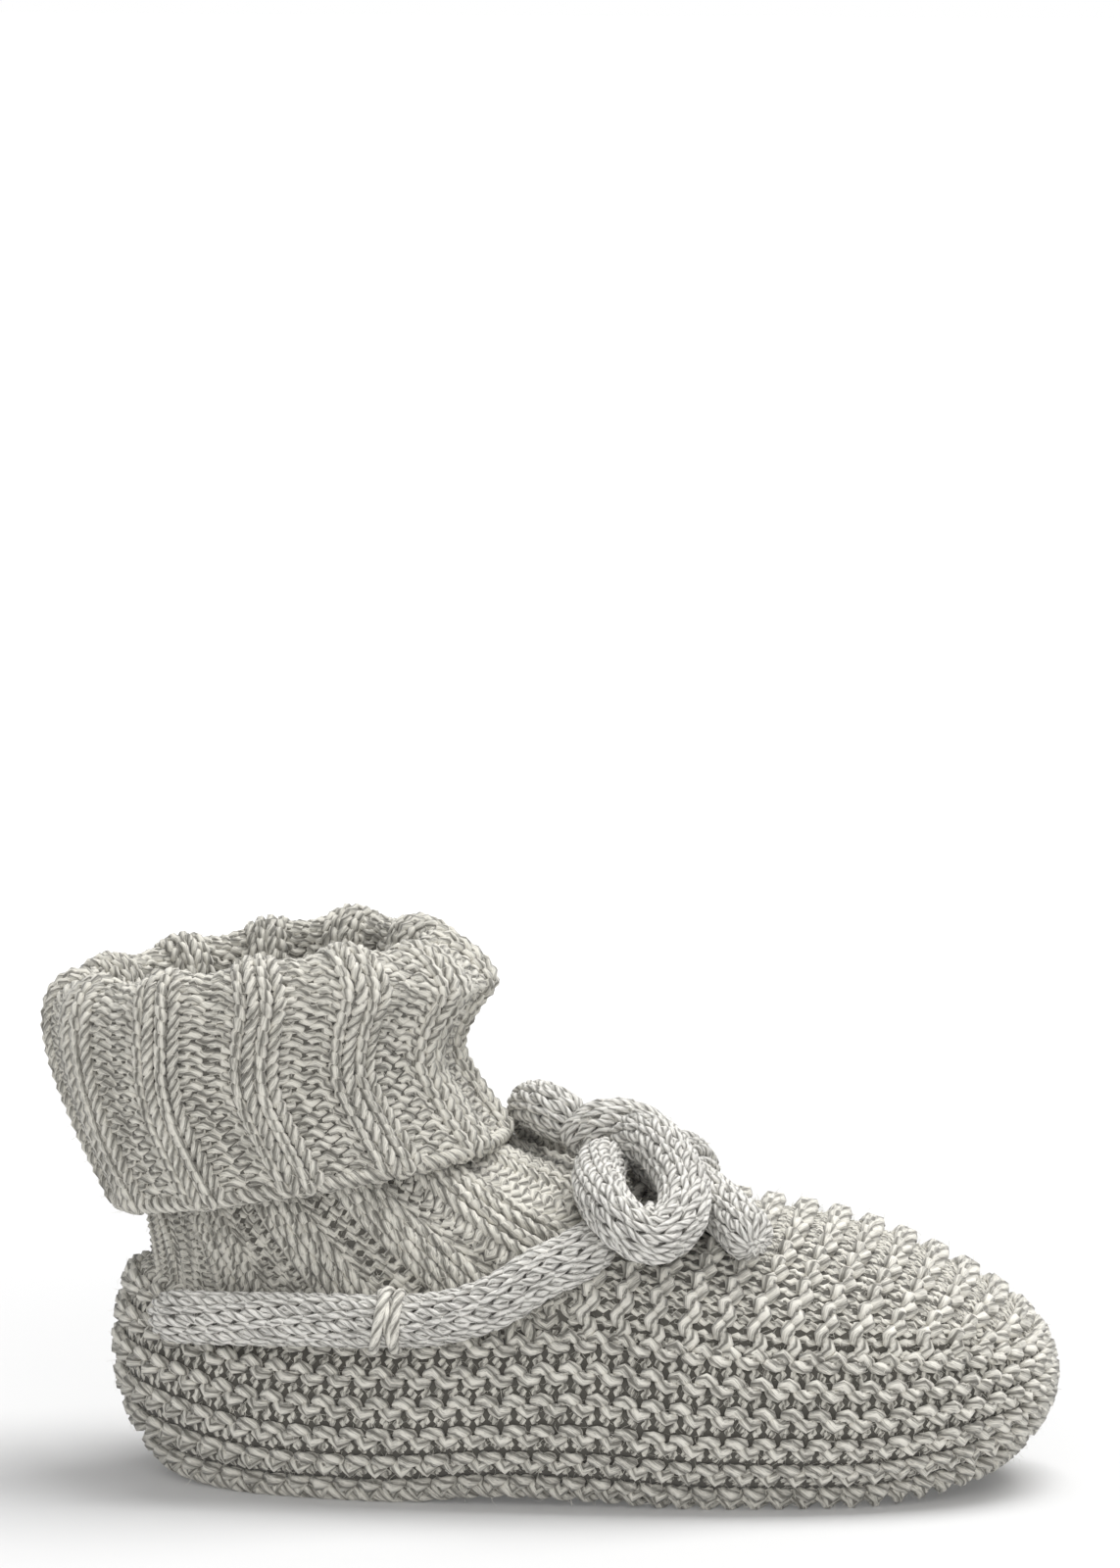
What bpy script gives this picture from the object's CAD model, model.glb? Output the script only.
"""Knitted baby bootie, laid stitch by stitch: each course of yarn follows the shapes
of sole, upper, shaft, cuff and cord, under the photograph's camera and a soft light.

Frame: metres, +X to the toe, +Z up. Shapes are worked out with the heel at x = 0
and moved by MIDDLE_X when they become objects.
"""
import math

import bpy
import numpy as np
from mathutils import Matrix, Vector


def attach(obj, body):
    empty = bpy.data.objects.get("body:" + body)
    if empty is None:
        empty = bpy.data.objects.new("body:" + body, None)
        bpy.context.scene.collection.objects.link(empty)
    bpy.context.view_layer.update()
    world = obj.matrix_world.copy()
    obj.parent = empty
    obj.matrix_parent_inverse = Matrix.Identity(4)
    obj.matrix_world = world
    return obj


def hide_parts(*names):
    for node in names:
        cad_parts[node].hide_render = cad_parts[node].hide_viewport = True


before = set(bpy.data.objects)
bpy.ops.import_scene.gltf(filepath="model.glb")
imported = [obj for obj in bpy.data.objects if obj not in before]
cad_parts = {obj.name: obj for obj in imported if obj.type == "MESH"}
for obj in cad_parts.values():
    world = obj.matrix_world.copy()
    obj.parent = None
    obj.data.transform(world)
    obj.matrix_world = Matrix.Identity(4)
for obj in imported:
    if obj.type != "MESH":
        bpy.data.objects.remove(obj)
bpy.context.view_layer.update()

MIDDLE_X = 0.05315  # middle of the shoe with its cuff, from the heel

# Camera, from the photograph's framing
CAMERA_DISTANCE = 1.3
CAMERA_TURN = math.radians(5.0)
CAMERA_RISE = math.radians(7.5)
CAMERA_LENS = 245.5
CAMERA_AIM = Vector((0.0013, 0.0, 0.0853))

# Knitted fabric
RIB_WALL = 0.0026  # ribbed fabric of shaft and cuff
VAMP_RIDGES = 13   # garter ridges across the vamp
RIBS = 12          # raised ribs round shaft and cuff
RIB_POINTS = 4     # stitches of one rib and its groove
RIB_SHIFT = 0.010  # turn of the ribs round the leg, as a share of it

# Foot
FOOT_LENGTH = 0.115
BALL_WIDTH = 0.0545
HEEL_WIDTH = 0.0520     # of the full oval that the heel end is cut from
OUTLINE_POWER = 2.5     # 2 is an ellipse, more is squarer
BAND_HEIGHT = 0.0195    # foot band at the toe
EDGE_ROUND = 0.0070     # how far the band tucks in under the foot
ANKLE_DRAW = 0.0012     # how far the drawstring pulls the ankle in
TOE_SPRING = 0.0040
INSTEP_HEIGHT = 0.0375  # top of the vamp at the ankle
VAMP_BACK = 0.0575      # where the vamp's sides meet the ankle
VAMP_BOW = 0.0045       # how far its middle stands in front of that
TOE_CAP = 0.0065        # depth of the first, most curved vamp row
DOME_POWER = 2.2        # cross section of the vamp; more is flatter on top

# Shaft and cuff, in the cuff's own leaning frame
CUFF_LEAN = math.radians(10.5)
CUFF_MIDDLE_X = 0.0185
CUFF_TOP = 0.0660
CUFF_LENGTH = 0.0570
CUFF_WIDTH = 0.0445
CUFF_DROP = 0.0284
CUFF_POWER = 2.25
CUFF_SAG = 0.0046         # how far the front of the fold sinks
SAG_FROM = 0.0040         # where it starts, in front of the cuff's middle
SAG_REACH = 0.0200        # how far from there the sag is full
SHAFT_WAIST = 0.0215      # depth of the shaft's narrowest place below the fold
WAIST_BACK = 0.0200
WAIST_FRONT = 0.0148
WAIST_HALF_WIDTH = 0.0158
HEEL_STEP = 0.0022        # how far the shaft stands inside the heel's lip
HEEL_STEP_LENGTH = 0.022  # where that step has run out, from the heel
# How strongly the shaft's curves hold their direction, as shares of their length
SEAM_PULL = 0.35   # up off the ankle seam at the heel
FRONT_PULL = 0.50  # more of it towards the front
WAIST_PULL = 0.55  # through the waist
MOUTH_PULL = 0.60  # into the mouth
WAIST_LEAVE = 0.5  # up out of the waist, beside the pull through it

# Drawstring
CORD_DIAMETER = 0.0055
CORD_TAPER = 0.65  # girth of an end that is tucked in
CURVE_STEPS = 12   # cuts between two points of a cord's route
STRAP_PLACE = Vector((0.0354, 0.0239, 0.0239))
STRAP_FROM = math.radians(-86)
STRAP_TO = math.radians(140)

# Garter stitch of the foot
YARN = 0.00065         # radius of the band's and the sole's yarn
STITCH = 0.00335       # width of a garter stitch
BAND_STITCHES = 84
FOOT_RIDGES = 6        # garter ridges up the foot band
SOLE_RIDGES = 5        # garter ridges from the sole's edge to its seam
STITCH_POINTS = 12     # points of yarn in one stitch
SOLE_POINTS = 8        # the same under the sole
LEAN = 0.18            # how far the loops' legs swing sideways, in stitches
FLAT_HEAD = 0.4        # how flat the loops' heads and feet lie, 0 is a plain wave
LEG_SINK = 0.55        # how deep the legs lie between two garter ridges
LOOP_HALF_ROW = 0.86   # half a loop's height, in courses
GARTER_DEEP = 0.00105  # swing of the yarn through the fabric
GARTER_SINK = 0.00120  # middle of the fabric under its outer surface
FRONT_SWELL = 0.32     # how much fuller the yarn is on top of a ridge
BAND_START = 0.7       # first course of the band, in grid rows from its edge
SOLE_START = 2.0       # first course under the sole, in grid rows from its edge
SOLE_REACH = 0.86      # how far the sole's courses reach towards its middle
SOLE_SINK = 0.00195    # the same for the sole
FLOOR_GAP = 0.00005    # yarn that would lie lower than this is pressed flat
VAMP_YARN = 0.00070    # radius of the vamp's yarn
VAMP_HALF_ROW = 0.76   # its loops are lower,
VAMP_DEEP = 0.00085    # and swing less through the fabric
SEAM_STRIP = 0.0010    # how far the vamp's courses run on over the band

# Ribbing of cuff and shaft
RIB_YARN = 0.00069          # radius of the cuff's yarn
RIB_ROW = 0.00160           # height of a course of the cuff
RIB_LEAN = 0.20             # sideways swing of the legs, in stitches
RIB_DEEP = 0.00055          # swing of the yarn through the fabric
RIB_SINK = 0.00130          # middle of the fabric under its outer surface
RIB_UNEVEN = 0.040          # knit stitches are narrower than purl ones by this
RIB_EDGE = 3                # how sharply a rib ends beside its groove
RIB_SWELL = 0.00075         # half a rib's height in the knitted surface
SHAFT_YARN = 0.00081        # radius of the shaft's yarn
SHAFT_ROW = 0.00135         # height of a course of the shaft
SHAFT_POINTS = 8            # points of yarn in one stitch of the shaft
SHAFT_FADE = 3              # how soon the shaft's ribs rise over the ankle seam
SHAFT_INNER_SINK = 0.00115  # dark sheet inside the shaft, under its outer surface

# Ropes of two strands: one round the sole's rim, one along the cuff's cast-on edge
ROPE_ROWS = 0.75     # half a rope's width, in grid rows
ROPE_SWING = 0.0007  # and its swing in and out
RIM_ROW = 1.1        # grid row of the band that the rim's rope follows
RIM_SINK = 0.00065   # its middle under the band's outer surface
RIM_YARN = 0.00072
RIM_POINTS = 16      # points of yarn in one turn of the rope
CAST_ON_ROW = 0.3    # grid row of the cuff that the edge's rope follows
CAST_ON_POINTS = 10

# Round knitting of the cord
CORD_FAT = 1.20        # girth of the soft knitted cover over the cord's own
CORD_YARN = 0.00050
CORD_ROW = 0.0024      # length of one round
CORD_STITCHES = 7      # in one round
CORD_LEAN = 0.23       # sideways swing of the legs, in stitches
CORD_DEEP = 0.00030    # swing of the yarn through the cover
CORD_SINK = 0.00070    # middle of the cover under its outer surface
CORD_TURN = 0.12       # stitches that each round is turned by
CORD_COLUMNS = 14      # grid columns round the cord
CORD_CORE = 0.00225    # radius of the plain core in the cord
CORE_SIDES = 12
FREE_END = 0.25        # girth at the tip of a free cord end, as a share
BOW_SETTLE = 0.0013    # the soft bow lies lower than the plain cord would
RUN_SETTLE = 0.0009    # the drawstring and its yarn loops, the same way
STRAP_YARN = 0.00066
STRAP_RADIUS = CORD_DIAMETER / 2 + 0.9 * STRAP_YARN
STRAP_POINTS = 22
STRAP_SPREAD = 0.0012  # unit of the strands' slant and place, along the foot
STRAP_OVER = 0.0007    # how far a strand bulges where it crosses another
# Slant, place and bulge of each strand of a yarn loop
STRAP_STRANDS = ((-1.0, 0.3, 0.0), (1.0, -0.2, 0.9), (0.35, 1.3, 0.2))

# Loose fibres
FIBRE_LENGTH = 0.0013    # mean length
FIBRE_WIDTH = 0.000022   # half the width
FIBRE_NARROW = 0.8, 0.3  # width half way along and at the tip, as shares
BAND_FIBRES, VAMP_FIBRES, CUFF_FIBRES, SHAFT_FIBRES = 17500, 10000, 15500, 8000
CORD_FIBRES = 2000       # on each piece of cord

# Resolution of the fabric grids
GRID_SHARE = 2       # grid columns to a band stitch
VAMP_COLUMNS = 48
CUFF_GRID_ROWS = 60
SHAFT_LOW_ROWS = 22
SHAFT_HIGH_ROWS = 12
SHAFT_GRID_ROWS = 60
ANKLE_POINTS = 40    # along each side of the ankle
LINING_COLUMNS = 96  # round the dark sheets of cuff and shaft

# Colours and wool; each pair is the light and the dark fibres of one yarn
LIGHT_WOOL, DARK_WOOL = (0.79, 0.765, 0.693), (0.19, 0.182, 0.160)
LIGHT_RIB, DARK_RIB = (0.71, 0.687, 0.617), (0.16, 0.153, 0.134)
LIGHT_CORD, DARK_CORD = (0.80, 0.783, 0.739), (0.21, 0.204, 0.187)
LIGHT_CORE, DARK_CORE = (0.30, 0.29, 0.27), (0.14, 0.135, 0.122)
LIGHT_INNER, DARK_INNER = (0.24, 0.23, 0.205), (0.10, 0.095, 0.083)
PLIES = 3           # strands twisted into one yarn
PLY_TURN = 7.0      # mm of yarn to one turn of the twist
CORD_PLY_TURN = 5.0
PLY_RELIEF = 0.35   # strength of the grooves between the strands
PLY_HEIGHT = 0.0004
PLY_SHADE = 0.45    # how much darker those grooves are
FIBRE_RELIEF = 0.8  # height of the fibres beside the grooves' 1
FIBRES_ROUND, FIBRES_ALONG = 7.0, 0.85  # fibres to a strand, and to a mm along it
MARL_SCALE = 330    # patches of light and dark wool in a metre
PLY_TONE, MARL_TONE, FIBRE_TONE = 0.08, 0.40, 1.10  # weights of strand, patch and fibre
TONE_DARK, TONE_LIGHT = 0.47, 0.82  # their sums that are quite dark and quite light

# Light
SURROUND = 0.38   # strength of the room's light
FLOOR_HALF = 3.0  # half the floor's side
FLOOR_TONE = 0.62
GLOW_NEAR, GLOW_FAR, GLOW_REACH = 0.10, 0.85, 0.9  # the floor goes over into white
LAMP_AIM = Vector((0, 0, 0.03))
LAMP_WIDTH = 0.9
# Name, place and power of each lamp
LAMPS = (("key", (0.30, 0.14, 1.16), 17.0), ("fill", (0.1, -1.3, 0.5), 6.2))

# The knot's wrap over the middle of the bow, and the two ways under it
KNOT_WRAP = (
    (0.0668, -0.0014, 0.0392), (0.0664, -0.0014, 0.0424), (0.0642, -0.0013, 0.0444),
    (0.0610, -0.0012, 0.0450), (0.0581, -0.0010, 0.0440), (0.0566, -0.0008, 0.0412))
KNOT_NEAR = ((0.0652, -0.0028, 0.0424),)
KNOT_FAR = ((0.0640, 0.0024, 0.0424),)

# Foot band from the sole's edge up: inset is a share of EDGE_ROUND
BAND_PROFILE = {
    "arc":   (0.00, 0.10, 0.20, 0.35, 0.50, 0.65, 0.80, 0.90, 1.00),
    "rise":  (0.00, 0.06, 0.155, 0.31, 0.47, 0.64, 0.80, 0.905, 1.00),
    "inset": (1.00, 0.66, 0.40, 0.14, 0.02, 0.00, 0.07, 0.15, 0.27),
    "drawn": (0.00, 0.00, 0.00, 0.00, 0.04, 0.20, 0.50, 0.75, 1.00),
}
# Along the foot from heel to toe: shares of BAND_HEIGHT, TOE_SPRING, ANKLE_DRAW
FOOT_LINES = {
    "along": (0.00, 0.06, 0.16, 0.30, 0.42, 0.52, 0.64, 0.80, 0.92, 1.00),
    "top":   (1.34, 1.27, 1.11, 1.07, 1.09, 1.14, 1.07, 1.00, 0.98, 0.99),
    "lift":  (0.62, 0.30, 0.00, 0.00, 0.30, 0.22, 0.00, 0.00, 0.56, 1.28),
    "drawn": (0.25, 0.60, 1.00, 1.00, 0.80, 0.45, 0.00, 0.00, 0.00, 0.00),
}
# Top line of the vamp: shares of FOOT_LENGTH and INSTEP_HEIGHT
VAMP_CREST = {
    "along":  (0.50, 0.52, 0.60, 0.685, 0.789, 0.872, 0.935, 0.965, 0.985),
    "height": (1.00, 1.00, 0.965, 0.920, 0.859, 0.762, 0.653, 0.585, 0.515),
}
# Cuff from its free edge over the fold to the mouth: depth is a share of
# CUFF_DROP, back and front of half CUFF_LENGTH, side of half CUFF_WIDTH
CUFF_SECTIONS = {
    "depth": (1.00, 0.92, 0.74, 0.556, 0.37, 0.194, 0.060, 0.00, 0.045, 0.180),
    "back":  (0.865, 0.885, 0.935, 0.975, 1.005, 1.005, 0.955, 0.85, 0.750, 0.700),
    "front": (0.885, 0.86, 0.785, 0.740, 0.825, 0.93, 0.880, 0.775, 0.665, 0.605),
    "side":  (0.99, 1.00, 0.975, 0.965, 0.98, 1.00, 0.930, 0.815, 0.705, 0.645),
}

# Drawstring routes on the near side; the run on the far side mirrors the near one
SIDE_RUN = (
    (0.0087, -0.0180, 0.0232), (0.0096, -0.0202, 0.0235), (0.0122, -0.0214, 0.0236),
    (0.0166, -0.0219, 0.0236), (0.0225, -0.0223, 0.0237), (0.0290, -0.0231, 0.0238),
    (0.0356, -0.0239, 0.0239), (0.0421, -0.0243, 0.0245), (0.0485, -0.0245, 0.0265),
    (0.0540, -0.0236, 0.0299), (0.0578, -0.0231, 0.0317), (0.0598, -0.0220, 0.0329),
    (0.0609, -0.0202, 0.0334))
LOOP_NEAR = (
    (0.0610, -0.0060, 0.0414), (0.0603, -0.0096, 0.0411), (0.0604, -0.0142, 0.0404),
    (0.0610, -0.0186, 0.0395), (0.0623, -0.0224, 0.0383), (0.0647, -0.0249, 0.0364),
    (0.0680, -0.0250, 0.0351), (0.0707, -0.0228, 0.0368), (0.0711, -0.0186, 0.0396),
    (0.0695, -0.0140, 0.0420), (0.0671, -0.0098, 0.0440), (0.0642, -0.0057, 0.0438))
LOOP_FAR = (
    (0.0565, 0.0003, 0.0446), (0.0535, 0.0016, 0.0459), (0.0511, 0.0052, 0.0461),
    (0.0503, 0.0100, 0.0446), (0.0511, 0.0145, 0.0418), (0.0541, 0.0174, 0.0388),
    (0.0581, 0.0174, 0.0381), (0.0608, 0.0142, 0.0394), (0.0618, 0.0096, 0.0412),
    (0.0616, 0.0041, 0.0426))
END_NEAR = (
    (0.0668, -0.0037, 0.0409), (0.0694, -0.0066, 0.0395), (0.0725, -0.0104, 0.0384),
    (0.0753, -0.0142, 0.0370), (0.0778, -0.0178, 0.0355), (0.0800, -0.0212, 0.0337))
END_FAR = (
    (0.0654, 0.0028, 0.0409), (0.0672, 0.0070, 0.0400), (0.0686, 0.0114, 0.0390),
    (0.0695, 0.0156, 0.0370), (0.0698, 0.0192, 0.0346))


def unit(vectors):
    """Vectors of length one in the same directions."""
    return vectors / (np.linalg.norm(vectors, axis=-1, keepdims=True) + 1e-12)


def lengths_to(points):
    """Length along a line of points up to each of them."""
    steps = np.linalg.norm(np.diff(np.array(points, float), axis=0), axis=1)
    return np.concatenate(([0.0], np.cumsum(steps)))


def between(places, lengths, values):
    """Rows of values at places along a line."""
    return np.stack([np.interp(places, lengths, column) for column in values.T], axis=1)


def slopes(values, axis, closed):
    """Steps from neighbour to neighbour along an axis."""
    if closed:
        return np.roll(values, -1, axis) - np.roll(values, 1, axis)
    return np.gradient(values, axis=axis)


def hermite(start, end, leave, arrive, t):
    """Point of a curve that leaves one point and arrives at another in given directions."""
    return (start * (2 * t**3 - 3 * t**2 + 1) + leave * (t**3 - 2 * t**2 + t)
            + end * (3 * t**2 - 2 * t**3) + arrive * (t**3 - t**2))


def read(table, key, column):
    """A smooth curve through one column, over the table's first column."""
    keys = np.array(next(iter(table.values())))
    values = np.array(table[column])
    rises = np.gradient(values, keys)
    place = int(np.clip(np.searchsorted(keys, key) - 1, 0, len(keys) - 2))
    step = keys[place + 1] - keys[place]
    t = min(max((key - keys[place]) / step, 0.0), 1.0)
    return float(hermite(*values[place:place + 2], *rises[place:place + 2] * step, t))


def oval(turn, half_length, half_width, power):
    """A squared ellipse by its polar angle, 0 at the toe."""
    c, s = math.cos(turn), math.sin(turn)
    reach = ((abs(c) / half_length)**power + (abs(s) / half_width)**power)**(-1 / power)
    return reach * c, reach * s


def sole_lift(along):
    """Height of the sole's edge over the floor, flat under heel and forefoot."""
    return TOE_SPRING * max(0.0, read(FOOT_LINES, along, "lift"))


def band_point(turn, arc):
    """Ridge-free surface of the foot band, arc 0 at the sole's edge, 1 at its top."""
    ball, heel = BALL_WIDTH / 2, HEEL_WIDTH / 2
    width = (ball + heel) / 2 + (ball - heel) / 2 * math.cos(turn)
    inset = EDGE_ROUND * read(BAND_PROFILE, arc, "inset")
    x, y = oval(turn, FOOT_LENGTH / 2 - inset, width - inset, OUTLINE_POWER)
    along = x / FOOT_LENGTH + 0.5
    draw = ANKLE_DRAW * read(FOOT_LINES, along, "drawn") * read(BAND_PROFILE, arc, "drawn")
    y *= 1 - draw / width
    low = sole_lift(along)
    high = BAND_HEIGHT * read(FOOT_LINES, along, "top")
    z = low + (high - low) * read(BAND_PROFILE, arc, "rise")
    return Vector((x + FOOT_LENGTH / 2, y, z))


def band_normal(turn, arc):
    """Outward normal of the foot band."""
    step = 0.01
    round_foot = band_point(turn + step, arc) - band_point(turn - step, arc)
    upward = band_point(turn, min(arc + step, 1)) - band_point(turn, max(arc - step, 0))
    return round_foot.cross(upward).normalized()


def even_turns(start, end, count):
    """Turns that cut the band's top edge into equal lengths."""
    fine = np.linspace(start, end, 200)
    lengths = lengths_to([band_point(turn, 1.0) for turn in fine])
    return [float(t) for t in np.interp(np.linspace(0, lengths[-1], count + 1), lengths, fine)]


def turn_at(x):
    """Turn of the band's top edge where it passes x, between toe and heel."""
    fine = np.linspace(math.pi, 0, 400)
    return float(np.interp(x, [band_point(turn, 1.0).x for turn in fine], fine))


def cuff_place(u, y, depth):
    """Point of the leaning cuff frame in the shoe's frame."""
    c, s = math.cos(CUFF_LEAN), math.sin(CUFF_LEAN)
    fold = max(0.0, 1 - depth / CUFF_DROP)
    depth += CUFF_SAG * fold * (max(0.0, u - SAG_FROM) / SAG_REACH)**2
    return Vector((CUFF_MIDDLE_X + u * c + depth * s, y, CUFF_TOP + u * s - depth * c))


def rib_stations():
    """Shares of the way round the leg, two on each rib and two in each groove."""
    count = RIBS * RIB_POINTS
    return ((np.arange(count) + 0.5) / count + RIB_SHIFT) % 1.0


def leg_ring(back, front, side, depth):
    """Closed ring round the leg from the back over the near side, evenly spaced."""
    half, middle = (front + back) / 2, (front - back) / 2
    fine = [oval(angle, half, side, CUFF_POWER)
            for angle in np.linspace(math.pi, 3 * math.pi, 361)]
    lengths = lengths_to(fine)
    return [cuff_place(middle + x, y, depth)
            for x, y in between(rib_stations() * lengths[-1], lengths, np.array(fine))]


def smooth_path(route, step):
    """Even points on a smooth curve through a route's points."""
    points = np.array(route)
    padded = np.vstack((2 * points[0] - points[1], points, 2 * points[-1] - points[-2]))
    fine = [hermite(one, two, (two - before) / 2, (after - one) / 2, t)
            for before, one, two, after in zip(padded, padded[1:], padded[2:], padded[3:])
            for t in np.linspace(0, 1, CURVE_STEPS, endpoint=False)]
    fine = np.array([*fine, points[-1]])
    lengths = lengths_to(fine)
    count = max(3, round(lengths[-1] / step) + 1)
    return between(np.linspace(0, lengths[-1], count), lengths, fine)


# Fabric patches: a grid of surface points with its outward normals

class Patch:
    """A surface by its grid: rows go with the courses, columns along each course."""

    def __init__(self, grid, closed, flip=False):
        self.grid = np.array(grid, float)
        self.closed = closed
        across, up = slopes(self.grid, 1, closed), slopes(self.grid, 0, False)
        normals = unit(np.cross(across, up))
        self.normals = -normals if flip else normals

    def pick(self, values, row, column):
        """Smooth values between the grid's points, at whole or broken indices."""
        rows, columns = values.shape[:2]
        row = np.clip(row, 0, rows - 1)
        i = np.clip(np.floor(row).astype(int), 0, rows - 2)
        t = (row - i)[:, None]
        if not self.closed:
            column = np.clip(column, 0, columns - 1)
        j = np.floor(column).astype(int)
        if not self.closed:
            j = np.clip(j, 0, columns - 2)
        s = (column - j)[:, None]
        total = 0
        for a, row_weight in enumerate(spline_weights(t)):
            r = np.clip(i + a - 1, 0, rows - 1)
            for b, column_weight in enumerate(spline_weights(s)):
                c = j + b - 1
                c = c % columns if self.closed else np.clip(c, 0, columns - 1)
                total = total + row_weight * column_weight * values[r, c]
        return total

    def place(self, row, column, height):
        """Points over the surface at a height, and the normals there.

        Past the first and last row the surface runs on straight.
        """
        last = self.grid.shape[0] - 1
        inside = np.clip(row, 0, last)
        normals = unit(self.pick(self.normals, inside, column))
        points = self.pick(self.grid, inside, column)
        step = points - self.pick(self.grid, np.clip(inside, 1, last - 1), column)
        points = points + step * np.abs(row - inside)[:, None]
        return points + normals * np.asarray(height)[:, None], normals

    def run(self, row):
        """Lengths along the course at a row, up to each column, and the whole."""
        columns = np.arange(self.grid.shape[1] + (1 if self.closed else 0), dtype=float)
        line = self.pick(self.grid, np.full(len(columns), float(row)), columns)
        return columns, lengths_to(line)


def spline_weights(t):
    """Weights of the four points round a place on a smooth curve."""
    return ((-t**3 + 2 * t**2 - t) / 2, (3 * t**3 - 5 * t**2 + 2) / 2,
            (-3 * t**3 + 4 * t**2 + t) / 2, (t**3 - t**2) / 2)


# Yarn and meshes

def add_object(name, data):
    """A new object in the scene."""
    thing = bpy.data.objects.new(name, data)
    bpy.context.scene.collection.objects.link(thing)
    return thing


def set_inputs(node, values):
    """Numbers and colours on a node's own sockets."""
    for socket, value in values.items():
        node.inputs[socket].default_value = value


class Bundle:
    """Points, faces and yarn coordinates of many strands, gathered for one object."""

    def __init__(self):
        self.points, self.faces, self.places, self.outward = [], [], [], []
        self.count = 0

    def strand(self, path, normals, radius, sides=6, closed=False):
        """One yarn along a path; its thickness may vary from point to point."""
        path = np.asarray(path, float)
        n = len(path)
        tangents = unit(slopes(path, 0, closed))
        side = unit(np.cross(tangents, normals))
        up = np.cross(side, tangents)
        radius = np.broadcast_to(np.asarray(radius, float), (n,))[:, None, None]
        angles = np.arange(sides) * 2 * math.pi / sides
        ring = (side[:, None] * np.cos(angles)[None, :, None]
                + up[:, None] * np.sin(angles)[None, :, None])
        self.points.append((path[:, None] + ring * radius).reshape(-1, 3))
        self.outward.append(ring.reshape(-1, 3))
        along = lengths_to(np.vstack((path, path[:1]))) * 1000
        spans = n if closed else n - 1
        i = np.arange(spans)[:, None]
        j = np.arange(sides)[None, :]
        i2, j2 = (i + 1) % n, (j + 1) % sides
        quads = np.stack((i * sides + j, i2 * sides + j,
                          i2 * sides + j2, i * sides + j2), axis=2)
        self.faces.append(quads.reshape(-1, 4) + self.count)
        u0, u1 = j / sides + 0 * i, (j + 1) / sides + 0 * i
        v0, v1 = along[i] + 0 * j, along[i + 1] + 0 * j
        places = np.stack((np.stack((u0, v0), 2), np.stack((u0, v1), 2),
                           np.stack((u1, v1), 2), np.stack((u1, v0), 2)), axis=2)
        self.places.append(places.reshape(-1, 2))
        self.count += n * sides
        if not closed:
            self.caps(self.count - n * sides, self.count - sides, sides)

    def caps(self, first, last, sides):
        """Closes both ends of the strand just added with fans of quads."""
        for start, order in ((first, 1), (last, -1)):
            ring = [start + k for k in range(sides)][::order]
            half = [(ring[0], ring[k], ring[k + 1], ring[min(k + 2, sides - 1)])
                    for k in range(1, sides - 2, 2)]
            self.faces.append(np.array(half))
            self.places.append(np.zeros((len(half) * 4, 2)))

    def cloth(self, grid, closed):
        """A sheet of fabric through a grid of points."""
        rows, columns = grid.shape[:2]
        i = np.arange(rows - 1)[:, None]
        j = np.arange(columns if closed else columns - 1)[None, :]
        j2 = (j + 1) % columns
        quads = np.stack((i * columns + j, i * columns + j2,
                          (i + 1) * columns + j2, (i + 1) * columns + j), axis=2)
        self.points.append(grid.reshape(-1, 3))
        self.faces.append(quads.reshape(-1, 4) + self.count)
        self.places.append(np.zeros((quads.shape[0] * quads.shape[1] * 4, 2)))
        self.count += rows * columns

    def make(self, name, material, replaced=()):
        """The object, on its body, with its material and record slot."""
        points = np.vstack(self.points)
        points[:, 0] -= MIDDLE_X
        points[:, 2] = np.maximum(points[:, 2], FLOOR_GAP)
        faces = np.vstack(self.faces)
        mesh = bpy.data.meshes.new(name)
        mesh.vertices.add(len(points))
        mesh.vertices.foreach_set("co", points.ravel())
        mesh.loops.add(faces.size)
        mesh.loops.foreach_set("vertex_index", faces.ravel().astype(np.int32))
        mesh.polygons.add(len(faces))
        mesh.polygons.foreach_set("loop_start", np.arange(0, faces.size, 4, dtype=np.int32))
        layer = mesh.uv_layers.new(name="UVMap")
        layer.data.foreach_set("uv", np.vstack(self.places).ravel().astype(np.float32))
        mesh.update(calc_edges=True)
        mesh.shade_smooth()
        mesh.materials.append(material)
        thing = add_object(name, mesh)
        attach(thing, "root")
        if replaced:
            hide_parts(*replaced)
        return thing


# Courses of yarn

def garter_height(q, front, deep):
    """Yarn's height over the fabric's middle: heads or feet of the loops in front."""
    shape = ((1 - FLAT_HEAD) * np.cos(2 * math.pi * q)
             + FLAT_HEAD * np.cos(6 * math.pi * q))
    return deep * (shape * (1 if front else -1) - LEG_SINK * np.sin(2 * math.pi * q)**2)


def rib_height(q, knit, deep):
    """Legs in front on knit stitches, heads and feet in front on purl stitches."""
    return -np.cos(4 * math.pi * q) * deep * knit


def course(bundle, patch, row, row_rise, stitches, first, heights, deep, radius, lean=LEAN,
           points=STITCH_POINTS, widths=None, middle=0.0, swell=0.0):
    """One course of loops round a closed patch, or across an open one.

    row_rise is half a loop's height in grid rows, towards the loops' heads;
    swell makes the yarn fuller where it lies in front.
    """
    columns, lengths = patch.run(row)
    count = stitches * points + (0 if patch.closed else 1)
    q = first + np.arange(count) / points
    sideways = q + lean * np.sin(4 * math.pi * q)
    if widths is not None:
        sideways = widths(sideways)
    share = (sideways - first) / stitches
    if patch.closed:
        at = (share % 1.0) * lengths[-1]
    else:
        centre = np.interp((len(columns) - 1) / 2, columns, lengths)
        at = centre + (share - 0.5) * lengths[-1]
    column = np.interp(at, lengths, columns)
    rows = row + row_rise * np.cos(2 * math.pi * q)
    lift = heights(q, deep)
    path, normals = patch.place(rows, column, middle + lift)
    bundle.strand(path, normals, radius * (1 + swell * np.clip(lift / deep, -0.5, 1)),
                  closed=patch.closed)


# Grids on the foot

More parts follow.
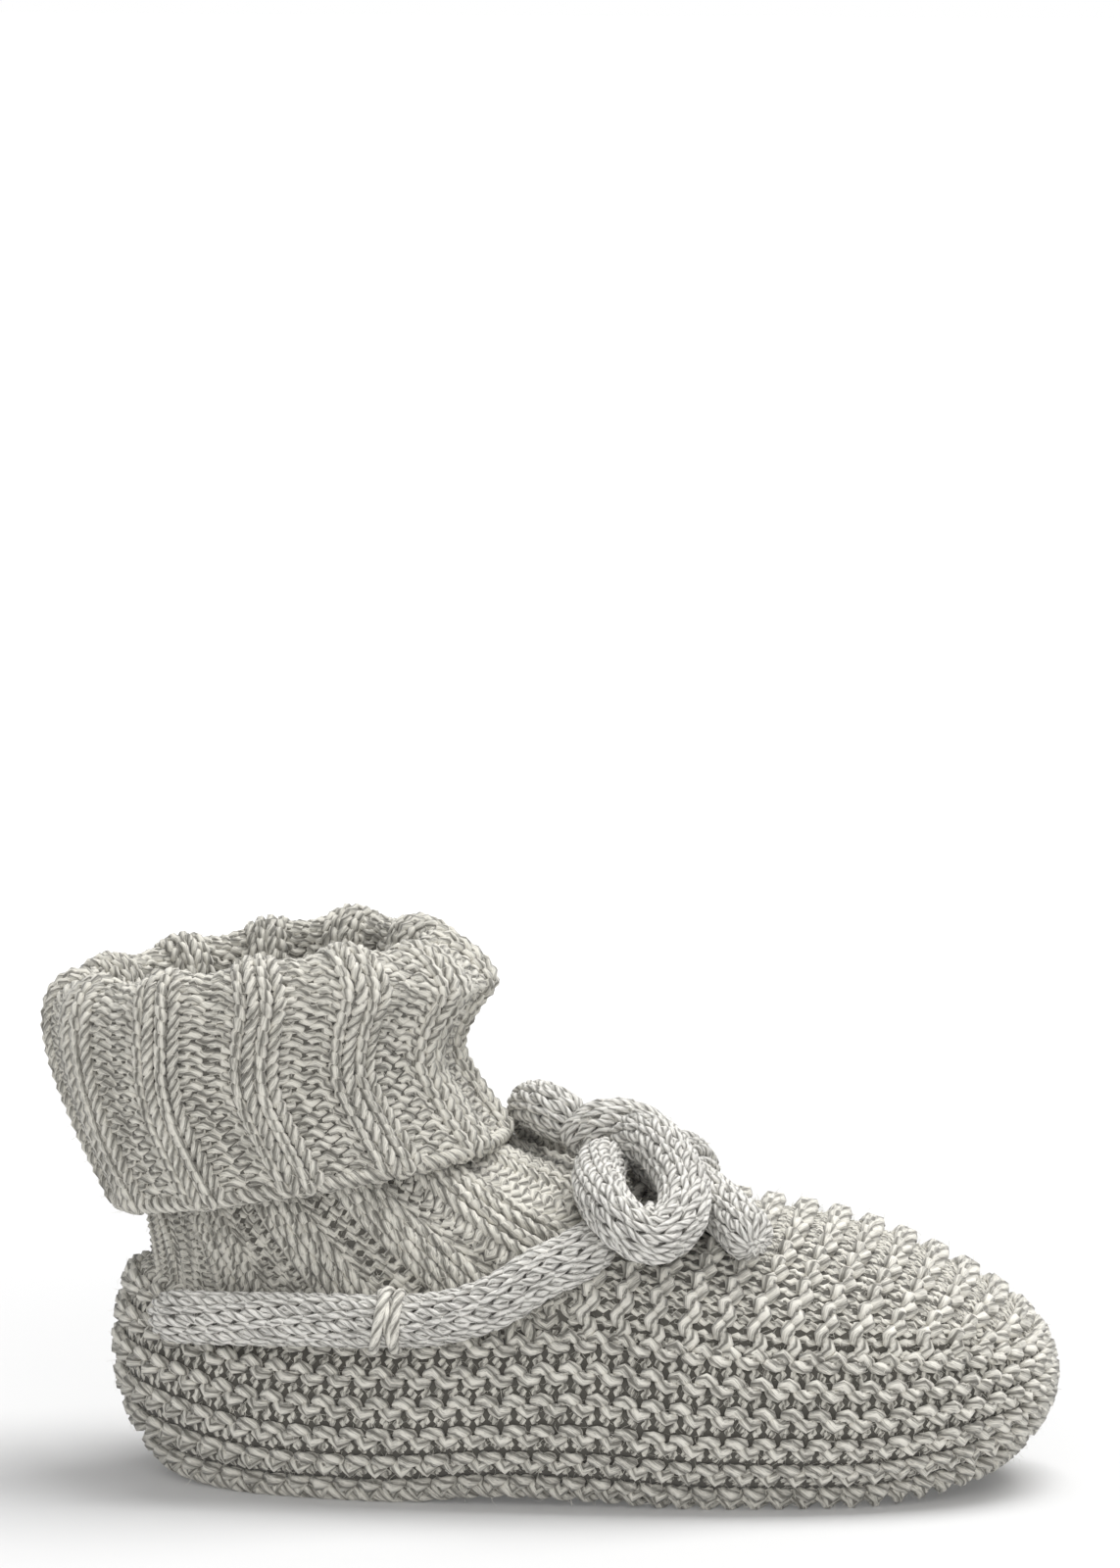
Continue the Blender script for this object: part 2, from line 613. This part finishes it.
def band_grid():
    """The foot band, sole's edge to top, evenly round the foot from the toe."""
    turns = even_turns(0, 2 * math.pi, BAND_STITCHES * GRID_SHARE)[:-1]
    arcs = np.linspace(0, 1, 2 * 2 * FOOT_RIDGES + 1)
    return [[tuple(band_point(turn, arc)) for turn in turns] for arc in arcs]


def vamp_grid():
    """The vamp from its toe row back to the ankle, near side to far side."""
    toe = turn_at(FOOT_LENGTH - TOE_CAP)
    back = turn_at(VAMP_BACK)
    half = VAMP_COLUMNS // 2
    row_toe = [band_point(turn, 1.0) for turn in even_turns(-toe, toe, 2 * half)]
    edges = [band_point(turn, 1.0) for turn in even_turns(toe, back, 2 * VAMP_RIDGES)]
    tip, corner = row_toe[half], row_toe[0]
    rows = [[tuple(point) for point in row_toe]]
    for row in range(1, 2 * VAMP_RIDGES + 1):
        share = row / (2 * VAMP_RIDGES)
        edge = edges[row]
        bow = (tip.x - corner.x) * (1 - share) + VAMP_BOW * share
        crest = INSTEP_HEIGHT * read(VAMP_CREST, (edge.x + bow) / FOOT_LENGTH, "height")
        points = []
        for point in row_toe:
            y = point.y / abs(corner.y)
            dome = (1 - min(abs(y), 1.0)**DOME_POWER)**(1 / 2)
            forward = (point.x - corner.x) / (tip.x - corner.x)
            points.append((edge.x + bow * forward, abs(edge.y) * y,
                           edge.z + (crest - edge.z) * dome))
        rows.append(points)
    return rows


def with_strips(grid):
    """The vamp's grid with a strip more at both sides, down over the band's edge."""
    strips = []
    for edge, inner in ((grid[:, :1], grid[:, 1:2]), (grid[:, -1:], grid[:, -2:-1])):
        strips.append(edge + unit(edge - inner) * SEAM_STRIP)
    return np.concatenate((strips[0], grid, strips[1]), axis=1)


def sole_grid(band):
    """Rings of the sole from the band's lower edge in to the middle seam."""
    middle = FOOT_LENGTH / 2
    seam_half = middle - BALL_WIDTH / 2 + EDGE_ROUND
    rows = []
    for share in np.linspace(0, SOLE_REACH, 2 * 2 * SOLE_RIDGES + 1):
        ring = []
        for x, y, _ in band[0]:
            seam_x = middle + (x - middle) * seam_half / middle
            x = x + (seam_x - x) * share
            ring.append((x, y * (1 - share), sole_lift(x / FOOT_LENGTH)))
        rows.append(ring)
    return rows


# Grids on the leg

def cuff_grid():
    """The cuff's mean surface from its free edge over the fold to the mouth."""
    depths = CUFF_SECTIONS["depth"]
    keys = np.linspace(0, len(depths) - 1, CUFF_GRID_ROWS)
    rings = []
    for key in keys:
        share = {name: column_at(values, key) for name, values in CUFF_SECTIONS.items()}
        rings.append(leg_ring(share["back"] * CUFF_LENGTH / 2, share["front"] * CUFF_LENGTH / 2,
                              share["side"] * CUFF_WIDTH / 2, share["depth"] * CUFF_DROP))
    return even_rows(np.array([[tuple(p) for p in ring] for ring in rings]))


def column_at(values, key):
    """Smooth value between the entries of a table's column."""
    values = np.array(values, float)
    i = int(min(max(math.floor(key), 0), len(values) - 2))
    around = values[np.clip(np.arange(i - 1, i + 3), 0, len(values) - 1)]
    return float(sum(w * v for w, v in zip(spline_weights(key - i), around)))


def heights_to(grid):
    """Mean length up a surface from its first row to each row."""
    steps = np.linalg.norm(np.diff(grid, axis=0), axis=2).mean(axis=1)
    return np.concatenate(([0.0], np.cumsum(steps)))


def even_rows(grid, count=None):
    """The same surface with rows at even lengths up its middle."""
    lengths = heights_to(grid)
    places = np.linspace(0, lengths[-1], count or len(grid))
    keys = np.interp(places, lengths, np.arange(len(grid)))
    i = np.minimum(keys.astype(int), len(grid) - 2)
    t = (keys - i)[:, None, None]
    return grid[i] * (1 - t) + grid[i + 1] * t


def shaft_grid(ankle, mouth):
    """The shaft's mean surface from the mouth inside the fold down to the ankle seam."""
    waist = np.array([tuple(p) for p in leg_ring(WAIST_BACK, WAIST_FRONT, WAIST_HALF_WIDTH,
                                                 SHAFT_WAIST)])
    ring, outward, upward = at_rib_stations(ankle)
    down = np.array(tuple(cuff_place(0, 0, 1) - cuff_place(0, 0, 0)))
    rows = []
    for t in np.linspace(0, 1, SHAFT_LOW_ROWS):
        points = []
        for k, seam in enumerate(ring):
            forward = min(max((seam[0] / VAMP_BACK - 0.5) * 2, 0.0), 1.0)
            low = seam - outward[k] * HEEL_STEP * max(0.0, 1 - seam[0] / HEEL_STEP_LENGTH)
            pull = np.linalg.norm(waist[k] - low) * (SEAM_PULL + FRONT_PULL * forward)
            points.append(hermite(low, waist[k], upward[k] * pull,
                                  (mouth[k] - low) * WAIST_PULL, t))
        rows.append(points)
    for t in np.linspace(0, 1, SHAFT_HIGH_ROWS)[1:]:
        points = []
        for k in range(len(ring)):
            through = (mouth[k] - rows[0][k]) * WAIST_PULL
            pull = -down * np.linalg.norm(mouth[k] - waist[k]) * MOUTH_PULL
            points.append(hermite(waist[k], mouth[k], through * WAIST_LEAVE, pull, t))
        rows.append(points)
    return even_rows(np.array(rows)[::-1], SHAFT_GRID_ROWS)


def ankle_loop(vamp):
    """Edge of the foot's opening from the heel over the near side, with its normals."""
    back = turn_at(VAMP_BACK)
    near = np.linspace(math.pi, 2 * math.pi - back, ANKLE_POINTS)[:-1]
    far = np.linspace(back, math.pi, ANKLE_POINTS)[1:-1]
    return [np.vstack(([tuple(side(turn, 1.0)) for turn in near], front,
                       [tuple(side(turn, 1.0)) for turn in far]))
            for side, front in ((band_point, vamp.grid[-1]), (band_normal, vamp.normals[-1]))]


def at_rib_stations(ankle):
    """The ankle loop at the ribs' stations, with normals and upward directions."""
    points, normals = ankle
    around = np.vstack((points, points[:1]))
    out = np.vstack((normals, normals[:1]))
    lengths = lengths_to(around)
    at = rib_stations() * lengths[-1]
    ring, normal = between(at, lengths, around), unit(between(at, lengths, out))
    return ring, normal, unit(np.cross(normal, slopes(ring, 0, True)))


# Round knitted cord

def cord_frames(route, step):
    """Even points along a route, with directions across that don't twist."""
    path = smooth_path(route, step)
    tangents = unit(np.gradient(path, axis=0))
    across = np.cross(tangents[0], (0, 0, 1.0))
    normals = []
    for tangent in tangents:
        across = unit(across - tangent * across.dot(tangent))
        normals.append(across)
    return path, tangents, np.array(normals)


def cord_girth(path, first, last):
    """Girth along a cord: rounded off over its ends, to these shares."""
    lengths = lengths_to(path)
    girth = np.ones(len(path))
    for place, share in ((lengths, first), (lengths[-1] - lengths, last)):
        near = np.clip(place / (CORD_DIAMETER / 2), 0, 1)
        girth *= share + (1 - share) * np.sqrt(1 - (1 - near)**2)
    return girth


def knit_cord(name, route, materials, replaced, last=CORD_TAPER):
    """Core, knitted cover and fibres of one round cord; returns them and its line."""
    yarn, core_yarn, loose = materials
    path, tangents, across = cord_frames(route, CORD_ROW / 2)
    other = np.cross(tangents, across)
    size = cord_girth(path, CORD_TAPER, last)
    angles = np.arange(CORD_COLUMNS) * 2 * math.pi / CORD_COLUMNS
    out = (across[:, None] * np.cos(angles)[None, :, None]
           + other[:, None] * np.sin(angles)[None, :, None])
    radius = (CORD_DIAMETER / 2 * CORD_FAT * size)[:, None, None]
    patch = Patch(path[:, None] + out * radius, closed=True)
    if (patch.normals[2, 0] * out[2, 0]).sum() < 0:
        patch.normals = -patch.normals
    core = Bundle()
    core.strand(path, across, CORD_CORE * size, sides=CORE_SIDES)
    cover = Bundle()
    for number in range((len(path) - 1) // 2):
        row = 2 * number + 1
        small = float(size[row])
        course(cover, patch, row, 2 * LOOP_HALF_ROW, CORD_STITCHES, number * CORD_TURN,
               lambda q, deep: rib_height(q, 1.0, deep), CORD_DEEP * small,
               CORD_YARN * (0.5 + 0.5 * small), CORD_LEAN, middle=-CORD_SINK * small)
    inside = core.make(name + "_core", core_yarn, replaced)
    outside = cover.make(name + "_knit", yarn, ())
    hairs = fuzz(name + "_fibres", cover, CORD_FIBRES, len(path), loose)
    line = path.copy()
    line[:, 0] -= MIDDLE_X
    return inside, outside, hairs, line


# Loose fibres

def fuzz(name, bundle, count, seed, material):
    """Short fine fibres that stand off the yarn, as thin bent ribbons."""
    chance = np.random.default_rng(seed)
    points, outward = np.vstack(bundle.points), np.vstack(bundle.outward)
    chosen = chance.integers(0, len(outward), count)
    root, out = points[chosen], outward[chosen]
    loose = unit(chance.normal(size=(2, count, 3)))
    length = FIBRE_LENGTH * (0.4 + chance.random((count, 1)))
    ways = [out * 0.7 + loose[0] * 0.7, out * 0.2 + loose[0] * 0.5 + loose[1] * 0.8]
    stops = [root - out * FIBRE_WIDTH]
    for way in ways:
        stops.append(stops[-1] + unit(way) * length / 2)
    broad = unit(np.cross(ways[0], loose[1]))
    sides = [stop + broad * FIBRE_WIDTH * width
             for stop, share in zip(stops, (1, *FIBRE_NARROW)) for width in (-share, share)]
    sides = np.stack(sides, axis=1)
    sides[:, :, 2] = np.maximum(sides[:, :, 2], 2 * FLOOR_GAP)
    hair = Bundle()
    hair.points.append(sides.reshape(-1, 3))
    start = np.arange(count)[:, None] * 6
    hair.faces.append(np.concatenate((start + np.array([[0, 1, 3, 2]]),
                                      start + np.array([[2, 3, 5, 4]]))))
    hair.places.append(np.zeros((count * 8, 2)))
    return hair.make(name, material, ())


# Materials

def yarn_material(name, colour, dark, ply_turn=PLY_TURN):
    """Plied wool: light and dark strands twisted round each other, with fine fibres."""
    material = bpy.data.materials.new(name)
    material.use_nodes = True
    nodes, links = material.node_tree.nodes, material.node_tree.links
    shader = nodes["Principled BSDF"]
    set_inputs(shader, {"Roughness": 0.95, "Specular IOR Level": 0.15,
                        "Sheen Weight": 0.25, "Sheen Roughness": 0.6})

    def add(kind, **values):
        node = nodes.new(kind)
        for key, value in values.items():
            setattr(node, key, value)
        return node

    def math_node(operation, one, two=None):
        node = add("ShaderNodeMath", operation=operation)
        for socket, value in zip(node.inputs, (one, two)):
            if isinstance(value, (int, float)):
                socket.default_value = value
            elif value is not None:
                links.new(value, socket)
        return node.outputs[0]

    place = add("ShaderNodeUVMap", uv_map="UVMap")
    split = add("ShaderNodeSeparateXYZ")
    links.new(place.outputs["UV"], split.inputs[0])
    around, along = split.outputs[0], split.outputs[1]
    turns = math_node("DIVIDE", along, ply_turn)
    phase = math_node("MULTIPLY", math_node("ADD", around, turns), PLIES)
    ply = math_node("FLOOR", phase)
    within = math_node("SUBTRACT", phase, ply)
    groove = math_node("ABSOLUTE", math_node("SINE", math_node("MULTIPLY", within, math.pi)))
    spot = add("ShaderNodeTexCoord")
    streak = add("ShaderNodeCombineXYZ")
    links.new(math_node("MULTIPLY", phase, FIBRES_ROUND), streak.inputs[0])
    links.new(math_node("MULTIPLY", along, FIBRES_ALONG), streak.inputs[1])
    fibre = add("ShaderNodeTexNoise")
    set_inputs(fibre, {"Scale": 1, "Detail": 3, "Roughness": 0.65})
    links.new(streak.outputs[0], fibre.inputs["Vector"])
    marl = add("ShaderNodeTexNoise")
    set_inputs(marl, {"Scale": MARL_SCALE, "Detail": 2})
    links.new(spot.outputs["Object"], marl.inputs["Vector"])
    chance = add("ShaderNodeTexWhiteNoise", noise_dimensions="1D")
    links.new(ply, chance.inputs["W"])
    tone = math_node("ADD", math_node("MULTIPLY", chance.outputs["Value"], PLY_TONE),
                     math_node("MULTIPLY", marl.outputs["Fac"], MARL_TONE))
    tone = math_node("ADD", tone, math_node("MULTIPLY", fibre.outputs["Fac"], FIBRE_TONE))
    shade = math_node("ADD", math_node("MULTIPLY", groove, PLY_SHADE), 1 - PLY_SHADE)
    tone = math_node("MULTIPLY", tone, shade)
    mix = add("ShaderNodeMix", data_type="RGBA")
    set_inputs(mix, {6: (*dark, 1), 7: (*colour, 1)})
    reach = add("ShaderNodeMapRange")
    set_inputs(reach, {"From Min": TONE_DARK, "From Max": TONE_LIGHT})
    links.new(tone, reach.inputs["Value"])
    links.new(reach.outputs[0], mix.inputs[0])
    links.new(mix.outputs[2], shader.inputs["Base Color"])
    fibres = math_node("MULTIPLY", fibre.outputs["Fac"], FIBRE_RELIEF)
    height = math_node("ADD", groove, fibres)
    relief = add("ShaderNodeBump")
    set_inputs(relief, {"Strength": PLY_RELIEF, "Distance": PLY_HEIGHT})
    links.new(height, relief.inputs["Height"])
    links.new(relief.outputs[0], shader.inputs["Normal"])
    return material


def fibre_material():
    """Single fibres of the same wool."""
    material = bpy.data.materials.new("loose_fibres")
    material.use_nodes = True
    set_inputs(material.node_tree.nodes["Principled BSDF"],
               {"Base Color": (*LIGHT_WOOL, 1), "Roughness": 0.8, "Specular IOR Level": 0.2})
    return material


# Camera

def make_camera():
    """Camera at the photograph's angle and distance."""
    data = bpy.data.cameras.new("camera")
    data.sensor_fit = "VERTICAL"
    data.sensor_height = data.sensor_width = 36
    data.lens = CAMERA_LENS
    data.clip_start = 0.01
    camera = add_object("camera", data)
    c, s = math.cos(CAMERA_RISE), math.sin(CAMERA_RISE)
    back = Vector((math.sin(CAMERA_TURN) * c, -math.cos(CAMERA_TURN) * c, s))
    camera.location = CAMERA_AIM + back * CAMERA_DISTANCE
    camera.rotation_mode = "QUATERNION"
    camera.rotation_quaternion = (-back).to_track_quat("-Z", "Y")
    bpy.context.scene.camera = camera


def make_studio():
    """White room: pale floor that glows towards its far parts, and soft lamps."""
    world = bpy.data.worlds.new("studio")
    world.use_nodes = True
    bpy.context.scene.world = world
    nodes, links = world.node_tree.nodes, world.node_tree.links
    soft = nodes["Background"]
    set_inputs(soft, {"Color": (1, 1, 1, 1), "Strength": SURROUND})
    white = nodes.new("ShaderNodeBackground")
    set_inputs(white, {"Color": (1, 1, 1, 1)})
    seen = nodes.new("ShaderNodeLightPath")
    mix = nodes.new("ShaderNodeMixShader")
    links.new(seen.outputs["Is Camera Ray"], mix.inputs[0])
    links.new(soft.outputs[0], mix.inputs[1])
    links.new(white.outputs[0], mix.inputs[2])
    links.new(mix.outputs[0], nodes["World Output"].inputs["Surface"])
    mesh = bpy.data.meshes.new("floor")
    corners = ((-1, -1), (1, -1), (1, 1), (-1, 1))
    mesh.from_pydata([(x * FLOOR_HALF, y * FLOOR_HALF, 0) for x, y in corners],
                     [], [(0, 1, 2, 3)])
    floor = add_object("floor", mesh)
    paint = bpy.data.materials.new("floor_white")
    paint.use_nodes = True
    shader = paint.node_tree.nodes["Principled BSDF"]
    set_inputs(shader, {"Base Color": (FLOOR_TONE, FLOOR_TONE, FLOOR_TONE, 1),
                        "Roughness": 0.9, "Emission Color": (1, 1, 1, 1)})
    nodes, links = paint.node_tree.nodes, paint.node_tree.links
    spot = nodes.new("ShaderNodeTexCoord")
    away = nodes.new("ShaderNodeVectorMath")
    away.operation = "LENGTH"
    links.new(spot.outputs["Object"], away.inputs[0])
    glow = nodes.new("ShaderNodeMapRange")
    glow.interpolation_type = "SMOOTHSTEP"
    set_inputs(glow, {"From Min": 0, "From Max": GLOW_REACH,
                      "To Min": GLOW_NEAR, "To Max": GLOW_FAR})
    links.new(away.outputs["Value"], glow.inputs["Value"])
    links.new(glow.outputs[0], shader.inputs["Emission Strength"])
    mesh.materials.append(paint)
    for name, place, power in LAMPS:
        light = bpy.data.lights.new(name, "AREA")
        light.size = LAMP_WIDTH
        light.energy = power
        lamp = add_object(name, light)
        lamp.location = place
        lamp.rotation_mode = "QUATERNION"
        lamp.rotation_quaternion = (LAMP_AIM - Vector(place)).to_track_quat("-Z", "Y")
    bpy.context.scene.view_settings.view_transform = "Standard"


# The bootie

def garter_courses(bundle, patch, courses, grid_share, first_front, stitches, sink,
                   radius=YARN, half_row=LOOP_HALF_ROW, points=STITCH_POINTS,
                   deep=GARTER_DEEP, start=0.0):
    """Courses of garter stitch, two to a ridge, all over a patch."""
    for number in range(courses):
        row = start + (number + 0.5) * grid_share
        front = (number % 2 == 0) == first_front
        ridge = (number + (0 if first_front else 1)) // 2
        course(bundle, patch, row, half_row * grid_share, stitches(ridge), 0,
               lambda q, deep: garter_height(q, front, deep), deep, radius,
               points=points, middle=-sink, swell=FRONT_SWELL)


def backing(name, material, slot_name, *sheets):
    """Dark inner sheets of one piece of fabric, half way through it."""
    bundle = Bundle()
    for patch, courses, grid_share, columns, sink in sheets:
        wide = patch.grid.shape[1]
        across = (np.arange(columns) * wide / columns if patch.closed
                  else np.linspace(0, wide - 1, columns))
        grid = [patch.place(np.full(columns, row), across, np.full(columns, -sink))[0]
                for row in np.linspace(0, courses * grid_share, courses + 1)]
        bundle.cloth(np.array(grid), patch.closed)
    bundle.make(name, material, ())


def even_count(length):
    """Even number of garter stitches in a length."""
    return max(4, 2 * round(length / (2 * STITCH)))


def make_foot(yarn, loose, inner):
    """Upper and sole; returns the vamp's patch for the shaft to start from."""
    band = Patch(band_grid(), closed=True)
    vamp = Patch(vamp_grid(), closed=False)
    sole = Patch(sole_grid(band.grid), closed=True, flip=True)

    knit = Bundle()
    garter_courses(knit, band, 2 * FOOT_RIDGES, 2, True,
                   lambda ridge: BAND_STITCHES, GARTER_SINK, start=BAND_START)
    rope(knit, band, RIM_ROW, -RIM_SINK, BAND_STITCHES // 2, RIM_POINTS, RIM_YARN)
    knit.make("band_knit", yarn, ("upper",))
    fuzz("band_fibres", knit, BAND_FIBRES, 1, loose)

    knit = Bundle()
    wide = Patch(with_strips(vamp.grid), closed=False)
    counts = [even_count(wide.run(2 * ridge + 1)[1][-1]) for ridge in range(VAMP_RIDGES)]
    garter_courses(knit, wide, 2 * VAMP_RIDGES, 1, True,
                   lambda ridge: counts[ridge], GARTER_SINK, VAMP_YARN, VAMP_HALF_ROW,
                   deep=VAMP_DEEP)
    knit.make("vamp_knit", yarn, ("upper",))
    fuzz("vamp_fibres", knit, VAMP_FIBRES, 2, loose)

    knit = Bundle()
    rings = [even_count(sole.run(4 * ridge)[1][-1]) for ridge in range(SOLE_RIDGES + 1)]
    garter_courses(knit, sole, 2 * SOLE_RIDGES, 2, False,
                   lambda ridge: rings[ridge], SOLE_SINK, points=SOLE_POINTS,
                   start=SOLE_START)
    knit.make("sole_knit", yarn, ("sole",))

    backing("upper_inner", inner, "garter_yarn",
            (band, 2 * FOOT_RIDGES, 2, BAND_STITCHES, GARTER_SINK),
            (vamp, 2 * VAMP_RIDGES, 1, VAMP_COLUMNS, GARTER_SINK))
    backing("sole_inner", inner, "garter_yarn",
            (sole, 2 * SOLE_RIDGES, 2, BAND_STITCHES, SOLE_SINK))
    return vamp


def rib_courses(bundle, patch, courses, side, fade, points, radius):
    """Two by two ribbing all over a closed patch; side -1 shows the fabric's other face."""
    rows = patch.grid.shape[0] - 1
    for number in range(courses):
        row = (number + 0.5) * rows / courses
        strength = fade(row / rows)

        def height(q, deep):
            wave = np.cos(2 * math.pi * (q + 0.5) / RIB_POINTS)
            knit = np.clip(RIB_EDGE * wave, -1, 1)
            swell = RIB_SWELL * wave * strength
            return side * (rib_height(q, knit, deep) + swell)

        course(bundle, patch, row, LOOP_HALF_ROW * rows / courses, RIBS * RIB_POINTS, 0,
               height, RIB_DEEP, radius, RIB_LEAN, points,
               lambda s: s - RIB_UNEVEN * np.sin(2 * math.pi * (s + 0.5) / RIB_POINTS),
               middle=-RIB_SINK)


def make_leg(vamp, yarn, loose, inner):
    """Cuff with its cast-on edge, and shaft."""
    cuff = Patch(cuff_grid(), closed=True)
    courses = round(heights_to(cuff.grid)[-1] / RIB_ROW)
    knit = Bundle()
    rib_courses(knit, cuff, courses, 1, lambda share: 1.0, STITCH_POINTS, RIB_YARN)
    rope(knit, cuff, CAST_ON_ROW, -RIB_SINK, RIBS * RIB_POINTS, CAST_ON_POINTS, RIB_YARN)
    knit.make("cuff_knit", yarn, ("cuff",))
    fuzz("cuff_fibres", knit, CUFF_FIBRES, 3, loose)
    backing("cuff_inner", inner, "rib_yarn",
            (cuff, courses, (CUFF_GRID_ROWS - 1) / courses, LINING_COLUMNS, RIB_SINK))

    mouth = cuff.grid[-1] - cuff.normals[-1] * RIB_WALL
    shaft = Patch(shaft_grid(ankle_loop(vamp), mouth), closed=True, flip=True)
    courses = round(heights_to(shaft.grid)[-1] / SHAFT_ROW)
    knit = Bundle()
    rib_courses(knit, shaft, courses, -1, lambda share: min(1.0, SHAFT_FADE * (1 - share)),
                SHAFT_POINTS, SHAFT_YARN)
    knit.make("shaft_knit", yarn, ("shaft",))
    fuzz("shaft_fibres", knit, SHAFT_FIBRES, 4, loose)
    backing("shaft_inner", inner, "rib_yarn",
            (shaft, courses, (SHAFT_GRID_ROWS - 1) / courses, LINING_COLUMNS,
             SHAFT_INNER_SINK))


def rope(bundle, patch, row, lift, turns, points, radius):
    """Two strands twisted round each other along a closed patch's course."""
    columns, lengths = patch.run(max(row, 0))
    share = np.arange(turns * points) / (turns * points)
    column = np.interp(share * lengths[-1], lengths, columns)
    for start in (0.0, 0.5):
        angle = 2 * math.pi * (share * turns + start)
        path, normals = patch.place(row + ROPE_ROWS * np.cos(angle), column,
                                    lift + ROPE_SWING * np.sin(angle))
        bundle.strand(path, normals, radius, closed=True)


def make_drawstring(materials, yarn):
    """Side runs of the cord, the bow and the yarn loops that hold the cord."""
    near_run = [(x, y, z - RUN_SETTLE) for x, y, z in SIDE_RUN]
    far_run = [(x, -y, z) for x, y, z in near_run]
    knit_cord("drawstring_near", near_run, materials, ("drawstring_near",))
    knit_cord("drawstring_far", far_run, materials, ("drawstring_far",))
    wrap, half_near, half_far = (
        [(x, y, z - BOW_SETTLE) for x, y, z in route]
        for route in (KNOT_WRAP, LOOP_NEAR + KNOT_NEAR + END_NEAR,
                      LOOP_FAR + KNOT_FAR + END_FAR))
    knot = knit_cord("knot", wrap, materials, ("bow_knot",))
    near = knit_cord("bow_near", half_near, materials,
                     ("bow_loop_near", "bow_end_near"), last=FREE_END)
    far = knit_cord("bow_far", half_far, materials,
                    ("bow_loop_far", "bow_end_far"), last=FREE_END)
    for name, side in (("cord_loop_near", -1), ("cord_loop_far", 1)):
        make_strap(name, side, yarn)


def make_strap(name, side, yarn):
    """Three strands of yarn that cross over the drawstring."""
    bundle = Bundle()
    centre = np.array((STRAP_PLACE.x, side * STRAP_PLACE.y, STRAP_PLACE.z - RUN_SETTLE))
    angles = np.linspace(STRAP_FROM, STRAP_TO, STRAP_POINTS)
    share = np.linspace(-1, 1, STRAP_POINTS)
    for slant, shift, over in STRAP_STRANDS:
        radius = STRAP_RADIUS + STRAP_OVER * over * (1 - share**2)
        outward = np.stack((STRAP_SPREAD * (slant * share + shift),
                            side * radius * np.cos(angles), radius * np.sin(angles)), axis=1)
        bundle.strand(centre + outward, outward, STRAP_YARN, sides=8)
    bundle.make(name + "_yarn", yarn, (name,))


def main():
    """Camera first, then cords, foot and leg, then the studio."""
    make_camera()
    foot_yarn = yarn_material("foot_yarn", LIGHT_WOOL, DARK_WOOL)
    rib_yarn = yarn_material("rib_yarn", LIGHT_RIB, DARK_RIB)
    cord_yarn = yarn_material("cord_yarn", LIGHT_CORD, DARK_CORD, CORD_PLY_TURN)
    cord_core = yarn_material("cord_core_yarn", LIGHT_CORE, DARK_CORE)
    inner = yarn_material("inner_yarn", LIGHT_INNER, DARK_INNER)
    loose = fibre_material()
    make_drawstring((cord_yarn, cord_core, loose), foot_yarn)
    vamp = make_foot(foot_yarn, loose, inner)
    make_leg(vamp, rib_yarn, loose, inner)
    make_studio()


main()
